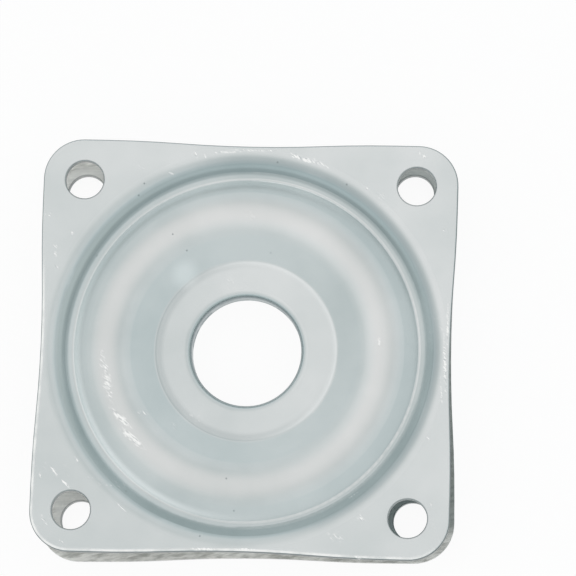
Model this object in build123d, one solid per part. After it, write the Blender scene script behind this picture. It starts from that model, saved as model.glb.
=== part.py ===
"""Square lazy susan bearing, 2 inch size: two pressed steel plates that turn on a ring of balls.

Millimetres. Z is the turning axis, the lower plate's mounting face is z = 0, and X and Y run along
the lower plate's sides. Each plate is drawn with its mounting face up at z = 0 and its dish below,
and depths are counted down from that face. The lower plate is then turned over.
"""

import os
from math import asin, cos, degrees, floor, pi, radians, sin, tan

from build123d import *

# The plates' outline: a square with rounded corners and sides drawn in at the waist
plate_side = 50.8
corner_radius = 4.9
side_straight = 3.0
waist_sag = 0.5
edge_round = 0.2

# The sheet and its four screw holes
sheet = 1.0
screw_hole_radius = 2.35
screw_hole_inset = 5.05
screw_hole_chamfer = 0.06

# The balls
ball_diameter = 5.5
least_ball_gap = 0.02

# Running clearances
ball_play = 0.05
land_play = 0.6
neck_play = 0.15
curl_play = 0.12

# The pressed dish from the rim inwards: shoulder, wall, crease, ball race, cone and land
rim_margin = 0.26
shoulder_bend = 2.5
wall_angle = 43.0
wall_foot_angle = 27.0
wall_foot_width = 0.7
wall_foot_bend = 1.8
crease_depth = 2.02
crease_bend = 0.35
race_flank_angle = 31.0
race_depth = 0.2
race_bend = 5.2
cone_angle = 31.0
land_bend = 0.9
land_width = 4.4

# The upper plate's neck, and the curl that keeps the lower plate on it
neck_wall = 0.75
neck_lip_bend = 0.9
curl_thickness = 0.8
curl_bend = 0.85
curl_reach = 1.75

# The plates turn freely on each other, and lie this many degrees out of square
rest_turn = -1.2

height = 2 * (race_depth + sheet + ball_play) + ball_diameter
land_depth = (height - land_play) / 2 - sheet
curl_top_depth = height - land_depth + curl_play
curl_bottom_depth = curl_top_depth + curl_thickness


def plate_outline():
    """A square with rounded corners, each side drawn in at its waist by three tangent arcs."""
    half = plate_side / 2
    bow = half - corner_radius - side_straight
    bend = ((bow / 2) ** 2 + (waist_sag / 2) ** 2) / waist_sag
    turn = degrees(asin(bow / 2 / bend))
    run_in = Line((corner_radius - half, -half), (-bow, -half))
    fall = JernArc(run_in @ 1, run_in % 1, bend, turn)
    waist = JernArc(fall @ 1, fall % 1, bend, -2 * turn)
    rise = JernArc(waist @ 1, waist % 1, bend, turn)
    run_out = Line(rise @ 1, (half - corner_radius, -half))
    corner = JernArc(run_out @ 1, run_out % 1, corner_radius, 90)
    side = Curve() + [run_in, fall, waist, rise, run_out, corner]
    return make_face([edge for k in range(4) for edge in (Rot(0, 0, 90 * k) * side).edges()])


def dish_corners():
    """The corners of the dish's mounting face from the shoulder in to the land, and the bend at each.

    A corner is (distance out from the race, height). A bend is above zero in a valley and below
    zero on a crest. The race's two sides meet in an apex over it, which its bend rounds off."""
    wall, foot = radians(wall_angle), radians(wall_foot_angle)
    flank, cone = radians(race_flank_angle), radians(cone_angle)
    race_centre = Vector(0, -race_depth - race_bend)
    flank_start = race_centre + race_bend * Vector(sin(flank), cos(flank))
    cone_start = race_centre + race_bend * Vector(-sin(cone), cos(cone))
    crease = flank_start + Vector(1 / tan(flank), -1) * (flank_start.Y + crease_depth)
    knee = crease + Vector(1, tan(foot)) * wall_foot_width
    shoulder = knee - Vector(1 / tan(wall), 1) * knee.Y
    land = cone_start - Vector(1 / tan(cone), 1) * (cone_start.Y + land_depth)
    span = flank_start - cone_start
    apex = cone_start + Vector(1, tan(cone)) * (span.Y + tan(flank) * span.X) / (tan(flank) + tan(cone))
    bends = [-shoulder_bend, wall_foot_bend, crease_bend, -race_bend, land_bend]
    return [shoulder, knee, crease, apex, land], bends


corners, bends = dish_corners()
dish_edge = corners[0].X + shoulder_bend * tan(radians(wall_angle / 2))
race_radius = plate_side / 2 - waist_sag - rim_margin - dish_edge
land_radius = race_radius + corners[-1].X
neck_bore_radius = land_radius - land_width
neck_outer_radius = neck_bore_radius + neck_wall
lower_hole_radius = neck_outer_radius + neck_play
curl_radius = neck_outer_radius + curl_reach
ball_count = floor(pi / asin((ball_diameter + least_ball_gap) / 2 / race_radius))


def through_sheet(face):
    """The corners between a face's first and last, moved square through the sheet to its ball side."""
    moved = []
    for before, corner, after in zip(face, face[1:], face[2:]):
        arriving, leaving = (corner - before).normalized(), (after - corner).normalized()
        halfway = (arriving + leaving).normalized()
        moved.append(corner + Vector(-halfway.Y, halfway.X) * (sheet / arriving.dot(halfway)))
    return moved


def dished_disc(hub):
    """The sheet turned about Z, from a rim outside the plate's corners in to its hub.

    The hub is the line from the land's mounting face round to its ball side."""
    rim = Vector(plate_side, 0)
    face = [rim] + [corner + Vector(race_radius, 0) for corner in corners] + [hub @ 0]
    back = [rim - Vector(0, sheet)] + through_sheet(face) + [hub @ 1]
    outer = FilletPolyline(*face, radius=[abs(bend) for bend in bends])
    inner = FilletPolyline(*back, radius=[abs(bend + sheet) for bend in bends])
    section = make_face(Curve() + [outer, inner, hub, Line(outer @ 0, inner @ 0)])
    return revolve(Plane.XZ * section, Axis.Z)


def upper_hub():
    """The neck drawn down from the land, curled outwards at its foot."""
    land = Vector((neck_bore_radius + land_radius) / 2, -land_depth)
    lip = Vector(neck_bore_radius, -land_depth)
    foot = Vector(neck_bore_radius, -curl_bottom_depth)
    curl_edge = Vector(curl_radius, -curl_bottom_depth)
    curl_back = Vector(curl_radius, -curl_top_depth)
    neck_back = Vector(neck_outer_radius, -curl_top_depth)
    root = Vector(neck_outer_radius, -land_depth - sheet)
    inside = FilletPolyline(land, lip, foot, curl_edge, radius=[neck_lip_bend, curl_bend])
    return Curve() + [inside, Polyline(curl_edge, curl_back, neck_back, root)]


def lower_hub():
    """The wall of the punched hole that runs on the neck."""
    return Line((lower_hole_radius, -land_depth), (lower_hole_radius, -land_depth - sheet))


def pressed_plate(hub):
    """A disc cut to the plate's outline, its mounting edge rounded, with the four screw holes."""
    plate = dished_disc(hub) & extrude(plate_outline(), -2 * height)
    face_edges = plate.edges().group_by(Axis.Z)[-1]
    plate = fillet([edge for edge in face_edges if not edge.is_closed], edge_round)
    spacing = plate_side - 2 * screw_hole_inset
    for place in GridLocations(spacing, spacing, 2, 2):
        plate -= place * Cylinder(screw_hole_radius, 3 * sheet)
    hole_edges = plate.edges().group_by(Axis.Z)[-1].filter_by(lambda edge: edge.is_closed)
    return chamfer(hole_edges.group_by(SortBy.RADIUS)[0], screw_hole_chamfer)


def steel_ball(number):
    """One of the balls that fill the race, evenly spaced round the axis."""
    place = Rot(0, 0, 360 * number / ball_count) * Pos(race_radius, 0, height / 2)
    return place * Sphere(ball_diameter / 2)


nodes = {
    "lower_plate": Rot(180, 0, 0) * pressed_plate(lower_hub()),
    "upper_plate": Pos(0, 0, height) * Rot(0, 0, rest_turn) * pressed_plate(upper_hub()),
}
for number in range(ball_count):
    nodes[f"ball_{number + 1:02d}"] = steel_ball(number)

os.makedirs("parts", exist_ok=True)
for name, solid in nodes.items():
    export_step(solid, f"parts/{name}.step")
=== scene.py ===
import math

import bpy
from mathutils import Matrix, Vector

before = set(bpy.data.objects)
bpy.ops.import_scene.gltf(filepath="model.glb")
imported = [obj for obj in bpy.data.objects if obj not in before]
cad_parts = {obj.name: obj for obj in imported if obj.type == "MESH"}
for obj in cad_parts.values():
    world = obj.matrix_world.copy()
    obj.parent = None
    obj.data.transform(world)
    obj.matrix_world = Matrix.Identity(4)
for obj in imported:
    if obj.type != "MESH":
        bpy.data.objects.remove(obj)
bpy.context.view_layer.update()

# The two plates are cold-rolled sheet, blanked square with four screw holes and pressed into a dish.
# Zinc plating with a blue-white passivation covers them. The faces that lay on the press tools are
# satin, the cut edges and drawn walls are streaky and darker, partly for their duller finish and partly
# from painted shade, and the upper face is scuffed.
MM = 0.001
TOP = 8 * MM
SHEET_FOOT = (TOP - 1.2 * MM, TOP - 1.1 * MM)
SCREW = 20.35 * MM
CORNER = 4.9 * MM
CORNER_CENTRE = 20.5 * MM
WAIST = 0.5 * MM
WAIST_REACH = 17.5 * MM
REST_TURN = -1.2

# The rings of the dish that carry painted light and shade. It comes in between the first two radii, in mm,
# and goes out between the last two.
LAND_RING = (9.9, 10.7, 11.05, 11.2)
LAND_EDGE = (10.4, 10.95, 11.0, 11.2)
CREST = (15, 16.5, 17.5, 19)
FLANK = (20.0, 20.85, 20.95, 21.15)
GROOVE_WALL = (21.55, 21.9, 22.3, 22.6)
SHOULDER = (22.7, 23.1, 23.2, 24.2)

# Directions in which painted light and shade grow, as the plates lie at rest in the photo.
RIGHT = (0.95, 0.3, 0)
UPPER_RIGHT = (0.75, 0.66, 0)
UPPER_LEFT = (-0.85, 0.5, 0)
UPWARD = (-0.3, 0.95, 0)
LEFT = (-0.93, -0.37, 0)
LOWER_LEFT = (-0.7, -0.95, 0)
BACK = (0.35, 0.94, 0)

# Sizes of the patterns. The satin's grit and a single rub mark are finer on such plates, and are drawn
# as coarse as they need to be to show.
CLOUDS = 9 * MM
GRIT = 0.28 * MM
ROLLING = 0.3 * MM
MOTTLE = 0.4 * MM
DRAWING = 0.3 * MM
RUB_MARK = 0.11 * MM
RUB_PATCH = 5 * MM
# The painted edge highlight is broken into pieces about this long.
BROKEN_HIGHLIGHT = 2.5 * MM
WAVES = 3.5 * MM

SMOOTH = {"interpolation_type": "SMOOTHSTEP"}
TINT = {"data_type": "RGBA"}


def linear(colour):
    """An sRGB hex colour as linear RGBA."""
    channels = [int(colour[place:place + 2], 16) / 255 for place in (1, 3, 5)]
    return [*(c / 12.92 if c <= 0.04045 else ((c + 0.055) / 1.055) ** 2.4 for c in channels), 1.0]


def feed(owner, node, inputs):
    """Fills a node's inputs, by name or as a row in their order. Each is a value, or an output to link."""
    used = [socket for socket in node.inputs if socket.enabled]
    named = {socket.name: socket for socket in reversed(used)}
    for key, value in (inputs.items() if isinstance(inputs, dict) else enumerate(inputs)):
        socket = used[key] if isinstance(key, int) else named[key]
        if isinstance(value, bpy.types.NodeSocket):
            owner.node_tree.links.new(value, socket)
        else:
            socket.default_value = value


def add(owner, kind, inputs=(), output=None, stops=(), **settings):
    """Adds a shader node to a material or world. Returns the output named, or the first one in use.

    Stops are the positions and hex colours of a colour ramp."""
    node = owner.node_tree.nodes.new("ShaderNode" + kind)
    for name, value in settings.items():
        setattr(node, name, value)
    for position, colour in stops[1:-1]:
        node.color_ramp.elements.new(position).color = linear(colour)
    for end in (0, -1) if stops else ():
        element = node.color_ramp.elements[end]
        element.position, element.color = stops[end][0], linear(stops[end][1])
    feed(owner, node, inputs)
    return node.outputs[output] if output else next(socket for socket in node.outputs if socket.enabled)


def meet(owner, share, *others):
    """Where all the shares given lie together."""
    for other in others:
        share = add(owner, "Math", [share, other], operation="MULTIPLY")
    return share


def coated(owner, colour, layers):
    """A colour with layers laid over it. Each is a share and a hex colour or an output."""
    for share, coat in layers:
        coat = linear(coat) if isinstance(coat, str) else coat
        colour = add(owner, "Mix", [share, colour, coat], **TINT)
    return colour


def ring(owner, from_axis, radii):
    """How far a place lies in one of the dish's rings."""
    start, full, last, end = (radius * MM for radius in radii)
    inner = add(owner, "MapRange", [from_axis, start, full], **SMOOTH)
    outer = add(owner, "MapRange", [from_axis, end, last], **SMOOTH)
    return meet(owner, inner, outer)


def toward(owner, where, direction, start, end, most=1.0):
    """How far a place lies, or a face looks, along a direction."""
    reach = add(owner, "VectorMath", [where, direction], operation="DOT_PRODUCT")
    return add(owner, "MapRange", [reach, start, end, 0.0, most], **SMOOTH)


def spot(owner, place, centre, rim, core, most=1.0, depth=0.0):
    """A round mark that fades from its core's radius to its rim's. Depth is how much height counts."""
    away = add(owner, "VectorMath", [place, centre], operation="SUBTRACT")
    away = add(owner, "VectorMath", [away, (1, 1, depth)], operation="MULTIPLY")
    away = add(owner, "VectorMath", [away], operation="LENGTH")
    return add(owner, "MapRange", [away, rim, core, 0.0, most], **SMOOTH)


def streaked(owner, place, size, stretch, turn=0.0, detail=2.0):
    """Cloudy streaks of about the width given, drawn out by stretch along axes turned about Z."""
    axes = {"Vector": place, "Rotation": [0, 0, math.radians(turn)], "Scale": stretch}
    place = add(owner, "Mapping", axes, vector_type="TEXTURE")
    return add(owner, "TexNoise", {"Vector": place, "Scale": 1 / size, "Detail": detail})


def scuffed(owner, place, scuffs):
    """How dense the rub marks are: most in the middle of each scuff, fading to few past its ends."""
    past_length, past_width, depth = 1.15, 1.6, 3 * MM
    patches = add(owner, "TexNoise", {"Vector": place, "Scale": 1 / RUB_PATCH, "Detail": 2})
    density = add(owner, "MapRange", [patches, 0.55, 0.8, 0.0, 0.2], **SMOOTH)
    for x, y, length, width, direction, strength in scuffs:
        scuff = add(owner, "Mapping", {
            "Vector": place,
            "Location": [x * MM, y * MM, TOP],
            "Rotation": [0, 0, math.radians(direction)],
            "Scale": [past_length * length * MM, past_width * width * MM, depth],
        }, vector_type="TEXTURE")
        scuff = add(owner, "TexGradient", [scuff], "Fac", gradient_type="SPHERICAL")
        density = add(owner, "Math", [density, meet(owner, scuff, strength)], operation="MAXIMUM")
    return density


def zinc_plating(name, turn=0.0, scuffs=(), pits=()):
    """Zinc-plated sheet: bluish on steep faces from painted shade, cloudy and grained, streaky where cut or
    drawn.

    Turn is how far the plate lies out of square, in degrees. A scuff is (x, y, half length, half width,
    direction in degrees, strength) on the upper face, and a pit is (x, y), with lengths in mm."""
    zinc = bpy.data.materials.new(name)
    zinc.use_nodes = True

    # Where a spot lies: its height, how level it is, how far from the axis and from the plate's edge,
    # and whether it is on a hidden face between the plates.
    place = add(zinc, "TexCoord", output="Object")
    normal = add(zinc, "TexCoord", output="Normal")
    facing = add(zinc, "SeparateXYZ", [normal], "Z")
    height = add(zinc, "SeparateXYZ", [place], "Z")
    level = add(zinc, "Math", [facing], operation="ABSOLUTE")
    from_middle = add(zinc, "Math", [height, TOP / 2], operation="SUBTRACT")
    hidden = add(zinc, "Math", [meet(zinc, facing, from_middle), 0.0], operation="LESS_THAN")
    outside = add(zinc, "Math", [1.0, hidden], operation="SUBTRACT")
    plan = add(zinc, "VectorMath", [place, (1, 1, 0)], operation="MULTIPLY")
    from_axis = add(zinc, "VectorMath", [plan], operation="LENGTH")
    outward = add(zinc, "VectorMath", [plan], operation="NORMALIZE")
    turned = {"Vector": plan, "Rotation": [0, 0, math.radians(turn)]}
    square = add(zinc, "Mapping", turned, vector_type="TEXTURE")
    square = add(zinc, "VectorMath", [square], operation="ABSOLUTE")
    corner = add(zinc, "VectorMath", [square, (CORNER_CENTRE, CORNER_CENTRE, 0)], operation="SUBTRACT")
    corner = add(zinc, "VectorMath", [corner, (0, 0, 0)], operation="MAXIMUM")
    corner = add(zinc, "VectorMath", [corner], operation="LENGTH")
    along = [add(zinc, "SeparateXYZ", [square], axis) for axis in "XY"]
    along = add(zinc, "Math", along, operation="MINIMUM")
    waist = add(zinc, "MapRange", [along, WAIST_REACH, 0.0, 0.0, WAIST], **SMOOTH)
    inset = add(zinc, "Math", [CORNER, corner], operation="SUBTRACT")
    inset = add(zinc, "Math", [inset, waist], operation="SUBTRACT")
    upper_sheet = add(zinc, "MapRange", [height, *SHEET_FOOT], **SMOOTH)

    # The plating itself, in soft clouds, with painted shade that makes it bluer and darker the steeper it
    # stands, and painted light that makes it a little paler toward the upper right where it lies flat.
    cloud = add(zinc, "TexNoise", {"Vector": place, "Scale": 1 / CLOUDS, "Detail": 3})
    cloudy = add(zinc, "ValToRGB", [cloud], stops=[(0.35, "#f3f5f5"), (0.65, "#ffffff")])
    flat = add(zinc, "MapRange", [level, 0.93, 0.99], **SMOOTH)
    upper_right_light = toward(zinc, place, UPPER_RIGHT, -24 * MM, 24 * MM)
    upper_right_light = add(zinc, "ValToRGB", [upper_right_light], stops=[(0, "#f3f5f5"), (1, "#ffffff")])
    slope_shade = [(0.73, "#bbc6c7"), (0.86, "#d3d8d8"), (0.98, "#dbdddd")]
    colour = add(zinc, "ValToRGB", [level], stops=slope_shade)
    for share, tint in ((1.0, cloudy), (flat, upper_right_light)):
        colour = add(zinc, "Mix", [share, colour, tint], **TINT, blend_type="MULTIPLY")

    # The dish's rings carry painted light and shade, most of them more on one side than on the other: a
    # painted highlight on the flank toward the upper left, a painted warm tint on the crest's highlight,
    # painted shade on the shoulder toward the right and on the land's ring toward the left, and a painted
    # highlight on the land's edge toward the right.
    right = toward(zinc, outward, RIGHT, -0.5, 0.5)
    flank_highlight = toward(zinc, outward, UPPER_LEFT, -0.75, 0.35)
    shoulder_shade = add(zinc, "MapRange", [right, 0.0, 1.0, 0.03, 0.25], **SMOOTH)
    land_ring_shade = toward(zinc, outward, LEFT, -0.8, 0.5, 0.22)
    land_edge_highlight = add(zinc, "MapRange", [right, 0.0, 1.0, 0.05, 0.2], **SMOOTH)
    colour = coated(zinc, colour, [
        (meet(zinc, ring(zinc, from_axis, FLANK), flank_highlight), "#fafdfd"),
        (meet(zinc, ring(zinc, from_axis, CREST), 0.2), "#e0d9d6"),
        (meet(zinc, ring(zinc, from_axis, SHOULDER), shoulder_shade), "#55666a"),
        (meet(zinc, ring(zinc, from_axis, LAND_RING), land_ring_shade), "#66777a"),
        (meet(zinc, ring(zinc, from_axis, LAND_EDGE), land_edge_highlight), "#f4f7f7"),
    ])

    # The faces between the plates are streaked along the rolling direction, mottled toward the edge, and
    # carry painted shade along the right-hand side. Over them, painted shade darkens the outer side of the
    # groove at its far end.
    rolled = streaked(zinc, place, ROLLING, (7, 1, 1))
    rolled = add(zinc, "ValToRGB", [rolled], stops=[(0.3, "#d9dad8"), (0.7, "#eaeae7")])
    mottled = streaked(zinc, place, MOTTLE, (4, 1, 1), turn=12, detail=4)
    mottled = add(zinc, "ValToRGB", [mottled], stops=[(0.34, "#acaca7"), (0.6, "#eeede9")])
    border = add(zinc, "MapRange", [inset, 2.4 * MM, 1.2 * MM, 0.0, 0.8], **SMOOTH)
    right_side_shade = meet(zinc, toward(zinc, place, (1, 0, 0), 23.6 * MM, 24.4 * MM, 0.7),
                      toward(zinc, place, (0, 1, 0), -23 * MM, -20 * MM))
    groove_shade = toward(zinc, outward, UPWARD, -0.3, 0.6, 0.3)
    colour = coated(zinc, colour, [
        (hidden, rolled),
        (meet(zinc, hidden, border), mottled),
        (meet(zinc, hidden, right_side_shade), "#667472"),
        (meet(zinc, ring(zinc, from_axis, GROOVE_WALL), groove_shade), "#5f6f70"),
    ])

    # Cut edges are streaked across the sheet, with painted shade where they face right or to the back. The
    # drawn neck is darker, partly for its thinner, greyer plating and partly from painted shade, which
    # leaves it palest half-way down and darkest above that.
    cut = add(zinc, "MapRange", [level, 0.68, 0.5], **SMOOTH)
    lines = streaked(zinc, place, DRAWING, (1, 1, 12))
    # Painted shade on the neck by height: darkest just under the lip, palest half-way down.
    drawn = add(zinc, "Math", [height, TOP], operation="DIVIDE")
    drawn = add(zinc, "ValToRGB", [drawn], stops=[(0.3, "#9aa5a7"), (0.5, "#b3bcbe"), (0.62, "#7d8a8d")])
    drawn = coated(zinc, drawn, [(add(zinc, "MapRange", [lines, 0.3, 0.7, 0.0, 0.15], **SMOOTH), "#c9cfd0")])
    bare_and_shaded = add(zinc, "ValToRGB", [lines], stops=[(0.3, "#9fa2a2"), (0.7, "#cfcdc8")])
    bare_and_shaded = coated(zinc, bare_and_shaded, [
        (toward(zinc, normal, BACK, 0.1, 0.7), "#7b8283"),
        (toward(zinc, normal, (1, 0, 0), 0.3, 0.9, 0.85), "#63726f"),
        (add(zinc, "MapRange", [from_axis, 8.5 * MM, 7.4 * MM], **SMOOTH), drawn),
    ])

    # What shows through the two right-hand screw holes has painted shade, darker and bluer.
    inside = add(zinc, "Math", [hidden, cut], operation="MAXIMUM")
    shade_in_holes = [
        (meet(zinc, inside, spot(zinc, place, (SCREW, y, 0), 5 * MM, 3 * MM, darkness)), "#5a7375")
        for y, darkness in ((-SCREW, 0.75), (SCREW, 0.35))
    ]

    # The rim and the screw holes have a dark line of painted shade along their edges, and the rim catches a
    # pale painted highlight, broken into pieces, at the lower left.
    # Painted shade: a dark line along the rim's edge.
    rim = add(zinc, "MapRange", [inset, 0.4 * MM, 0.25 * MM], **SMOOTH)
    rim = meet(zinc, upper_sheet, rim, add(zinc, "MapRange", [level, 0.96, 0.7], **SMOOTH))
    hole_rim_shade = spot(zinc, square, (SCREW, SCREW, 0), 2.54 * MM, 2.42 * MM, 0.6)
    edge_shade = add(zinc, "Math", [rim, hole_rim_shade], operation="MAXIMUM")
    colour = coated(zinc, colour, [(cut, bare_and_shaded), *shade_in_holes, (meet(zinc, edge_shade, 0.85), "#5d6769")])
    # The pale edge at the lower left is a painted highlight; the rub marks are added to it further on.
    highlight_breaks = add(zinc, "TexNoise", {"Vector": place, "Scale": 1 / BROKEN_HIGHLIGHT, "Detail": 2})
    highlight_and_rubs = meet(
        zinc,
        add(zinc, "MapRange", [inset, 0.5 * MM, 0.25 * MM], **SMOOTH),
        add(zinc, "MapRange", [level, 0.75, 0.92], **SMOOTH),
        upper_sheet,
        toward(zinc, place, LOWER_LEFT, 4 * MM, 13 * MM),
        add(zinc, "MapRange", [highlight_breaks, 0.35, 0.6, 0.25, 0.85], **SMOOTH),
        outside,
    )

    # Scuffs are bundles of fine pale rub marks with darker flecks between them, beside a few pits. A soft
    # painted highlight lies on the dish up and to the left of the middle.
    if scuffs:
        rubs = streaked(zinc, place, RUB_MARK, (6, 1, 6), turn=-42)
        density = scuffed(zinc, place, scuffs)
        least = add(zinc, "Math", [0.7, meet(zinc, density, 0.38)], operation="SUBTRACT")
        rubbed = add(zinc, "Math", [rubs, least], operation="SUBTRACT")
        rubbed = add(zinc, "MapRange", [rubbed, -0.03, 0.05], **SMOOTH)
        dense = add(zinc, "MapRange", [density, 0.02, 0.3], **SMOOTH)
        highlight_and_rubs = add(zinc, "Math", [highlight_and_rubs, meet(zinc, rubbed, dense, outside)], operation="MAXIMUM")
        scraped = add(zinc, "Math", [0.43, rubs], operation="SUBTRACT")
        scraped = add(zinc, "MapRange", [scraped, -0.02, 0.05], **SMOOTH)
        flecks = add(zinc, "MapRange", [density, 0.2, 0.7, 0.0, 0.4], **SMOOTH)
        pitted = 0.0
        for x, y in pits:
            pit = spot(zinc, place, (x * MM, y * MM, TOP), 0.17 * MM, 0.05 * MM, 0.55, depth=0.05)
            pitted = add(zinc, "Math", [pitted, pit], operation="MAXIMUM")
        cone_highlight = spot(zinc, place, (-7.6 * MM, 9.4 * MM, 6 * MM), 2.4 * MM, 0.4 * MM, 0.45, depth=1.0)
        colour = coated(zinc, colour, [
            (meet(zinc, scraped, flecks), "#8d9799"),
            (cone_highlight, "#eef3f3"),
            (pitted, "#6f7b7c"),
        ])
    colour = coated(zinc, colour, [(highlight_and_rubs, "#fbfaf8")])

    # Rolled and cut faces are duller than the pressed ones, and rub marks and the painted edge highlight
    # scatter the light.
    rough = add(zinc, "MapRange", [cloud, 0.35, 0.65, 0.2, 0.26], **SMOOTH)
    for faces, more in ((hidden, 0.2), (cut, 0.1)):
        rough = add(zinc, "Math", [rough, meet(zinc, faces, more)], operation="ADD")
    matt = 0.0
    for faces, less in ((hidden, 0.45), (cut, 0.3), (highlight_and_rubs, 0.5)):
        matt = add(zinc, "Math", [matt, meet(zinc, faces, less)], operation="MAXIMUM")
    metal = add(zinc, "Math", [0.85, matt], operation="SUBTRACT")
    waves = add(zinc, "TexNoise", {"Vector": place, "Scale": 1 / WAVES, "Detail": 1})
    grit = add(zinc, "TexNoise", {"Vector": place, "Scale": 1 / GRIT, "Detail": 2})
    bump = add(zinc, "Bump", {"Height": waves, "Distance": 0.015 * MM, "Strength": 1.0})
    bump = add(zinc, "Bump", {"Height": grit, "Distance": 0.001 * MM, "Strength": 1.0, "Normal": bump})
    shader = zinc.node_tree.nodes["Principled BSDF"]
    feed(zinc, shader, {"Base Color": colour, "Roughness": rough, "Metallic": metal, "Normal": bump})
    return zinc


SCUFFS = [
    (-16.8, -3.7, 4.2, 0.5, -79, 0.6),
    (-14.9, -8.7, 2.2, 0.34, -44, 0.9),
    (-13.5, -11.1, 2.4, 0.36, -38, 0.9),
    (-12.2, -8.0, 1.0, 0.25, -10, 0.6),
    (-22.9, -15.2, 1.3, 0.12, -55, 0.8),
    (-21.4, -16.8, 1.1, 0.14, -40, 1.0),
    (-20.3, -13.6, 1.1, 0.16, -57, 0.4),
    (-14.5, -19.7, 1.2, 0.14, -40, 0.6),
    (-24.0, -21.1, 1.3, 0.25, -55, 0.5),
    (-21.8, -23.8, 0.7, 0.25, -39, 0.45),
    (-24.6, -15.7, 0.8, 0.12, -85, 0.7),
    (-4.5, -24.6, 2.2, 0.14, -2, 1.0),
    (0.3, -24.6, 1.6, 0.14, -2, 0.9),
    (14.0, -25.5, 0.6, 0.2, -33, 0.8),
    (16.3, 0.7, 0.9, 0.22, -90, 0.7),
    (14.3, -20.8, 0.7, 0.3, -29, 0.8),
    (11.3, -23.0, 1.5, 0.7, -31, 0.4),
    (22.7, -19.2, 0.6, 0.13, -86, 0.6),
    (22.3, -11.1, 0.4, 0.15, -73, 0.6),
    (13.2, -17.9, 1.5, 0.16, 33, 0.5),
    (24.3, -2.1, 4.6, 0.18, -88, 0.8),
    (24.6, 2.8, 3.4, 0.14, -90, 0.75),
    (23.9, -5.5, 2.6, 0.12, -86, 0.6),
    (8.5, 22.9, 1.6, 0.3, -20, 0.6),
    (-2.5, 24.2, 2.4, 0.14, 2, 0.7),
    (24.1, 14.5, 0.4, 0.14, -70, 0.7),
    (21.6, 23.6, 0.3, 0.2, -60, 0.8),
    (-6.3, 23.8, 0.6, 0.14, -65, 0.7),
    (-5.2, 23.7, 0.5, 0.14, -75, 0.6),
    (0.8, 24.4, 4.6, 0.12, -1, 0.6),
    (-13.1, 22.3, 0.7, 0.3, -24, 0.4),
    (-24.1, 16.3, 0.4, 0.08, 0, 0.8),
    (-21.3, 14.1, 0.25, 0.2, 0, 1.0),
    (-23.3, 12.4, 0.6, 0.2, -16, 0.6),
    (-23.3, 11.4, 0.7, 0.14, -78, 0.7),
    (-23.3, 10.0, 0.5, 0.2, -41, 0.6),
    (6.1, 23.6, 1.0, 0.28, -27, 1.0),
    (7.3, 23.2, 1.1, 0.24, -19, 1.0),
    (9.8, 22.3, 0.8, 0.25, -18, 0.4),
    (14.7, 19.6, 0.2, 0.16, 0, 1.0),
    (21.1, 24.1, 0.4, 0.1, -85, 0.7),
    (-9.3, 21.6, 0.5, 0.15, -22, 0.5),
    (-11.5, 18.5, 0.6, 0.14, 25, 0.5),
]
PITS = [
    (-13.3, 18.9), (-12.6, 20.3), (-18.4, 11.6), (3.7, 23.0), (-7.3, 12.1), (-1.9, 10.5), (2.9, 12.0),
    (-9.0, 14.0), (-14.2, -17.5), (-5.1, -23.0), (-1.1, -19.8), (-2.0, -16.0), (12.2, 20.2),
]

coats = {
    "lower_plate": zinc_plating("zinc_plated_steel"),
    "upper_plate": zinc_plating("scuffed_zinc_plated_steel", REST_TURN, SCUFFS, PITS),
}
for name, zinc in coats.items():
    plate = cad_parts[name]
    plate.data.materials.clear()
    plate.data.materials.append(zinc)

# The balls are hardened chrome steel, ground and polished, loose in the race with a film of grease.
# The film dulls and warms them in patches, so that they don't look like perfect mirrors.
GREASE = 2 * MM

steel = bpy.data.materials.new("greased_bearing_steel")
steel.use_nodes = True
place = add(steel, "TexCoord", output="Object")
film = add(steel, "TexNoise", {"Vector": place, "Scale": 1 / GREASE, "Detail": 2})
feed(steel, steel.node_tree.nodes["Principled BSDF"], {
    "Base Color": add(steel, "ValToRGB", [film], stops=[(0.35, "#c9cac9"), (0.65, "#b7b2a4")]),
    "Roughness": add(steel, "MapRange", [film, 0.35, 0.65, 0.08, 0.22], **SMOOTH),
    "Metallic": 1.0,
})
for name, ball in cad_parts.items():
    if name.startswith("ball"):
        ball.data.materials.clear()
        ball.data.materials.append(steel)

# The studio: a white paper table in a white light tent, which is brightest a little left of overhead
# and bluer and darker down its sides. The table is clear from beneath, so that the underside shows.
TABLE_SIDE = 6
TABLE_DROP = 0.02 * MM
FIBRES = 1.5 * MM
PAPER_GLOW = 0.93
TENT_AXIS = Vector((-0.26, 0.07, 0.96)).normalized()
TENT_STRENGTH = 1.05

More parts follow.
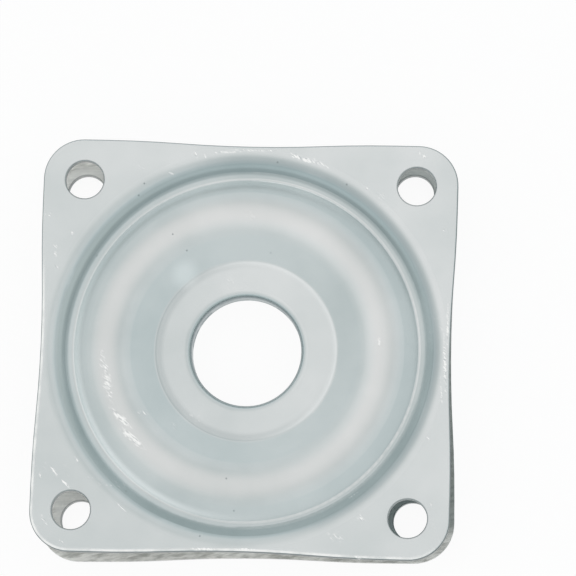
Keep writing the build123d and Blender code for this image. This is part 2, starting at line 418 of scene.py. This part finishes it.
bpy.ops.mesh.primitive_plane_add(size=TABLE_SIDE, location=(0, 0, -TABLE_DROP))
table = bpy.context.object
table.name = "studio_table"
paper = bpy.data.materials.new("white_paper")
paper.use_nodes = True
place = add(paper, "TexCoord", output="Object")
fibre = add(paper, "TexNoise", {"Vector": place, "Scale": 1 / FIBRES, "Detail": 3})
fibre = add(paper, "ValToRGB", [fibre], stops=[(0.35, "#f4f4f4"), (0.65, "#f8f8f8")])
shader = paper.node_tree.nodes["Principled BSDF"]
feed(paper, shader, {"Base Color": fibre, "Roughness": 0.9})
seen = add(paper, "LightPath", output="Is Camera Ray")
for ray in ("Is Glossy Ray", "Is Transmission Ray"):
    seen = add(paper, "Math", [seen, add(paper, "LightPath", output=ray)], operation="MAXIMUM")
glow = add(paper, "Emission", {"Color": linear("#ffffff"), "Strength": 1.0})
surface = add(paper, "MixShader", [meet(paper, seen, PAPER_GLOW), shader.outputs["BSDF"], glow])
beneath = add(paper, "NewGeometry", output="Backfacing")
surface = add(paper, "MixShader", [beneath, surface, add(paper, "BsdfTransparent")])
feed(paper, paper.node_tree.nodes["Material Output"], {"Surface": surface})
table.data.materials.append(paper)

world = bpy.data.worlds.new("studio")
bpy.context.scene.world = world
world.use_nodes = True
direction = add(world, "TexCoord", output="Generated")
overhead = add(world, "VectorMath", [direction, TENT_AXIS], operation="DOT_PRODUCT")
tent = add(world, "ValToRGB", [overhead], stops=[
    (0.0, "#f2f2f0"), (0.1, "#cdd4d5"), (0.29, "#e0e8ea"), (0.47, "#ebeff0"),
    (0.64, "#e5e9ea"), (0.77, "#e1e6e6"), (0.95, "#fafbfb"), (1.0, "#ffffff"),
])
feed(world, world.node_tree.nodes["Background"], {"Color": tent, "Strength": TENT_STRENGTH})

# The camera stands where a fit to the plates' edges, corners and holes puts the photo's.
camera = bpy.data.objects.new("camera", bpy.data.cameras.new("camera"))
bpy.context.scene.collection.objects.link(camera)
bpy.context.scene.camera = camera
camera.location = Vector((34.047, -75.786, 479.628)) * MM
camera.rotation_euler = [math.radians(turn) for turn in (10.0171, 3.3775, 0.7026)]
camera.data.lens = 246.67
camera.data.clip_start = 0.01

bpy.context.scene.view_settings.view_transform = "Standard"
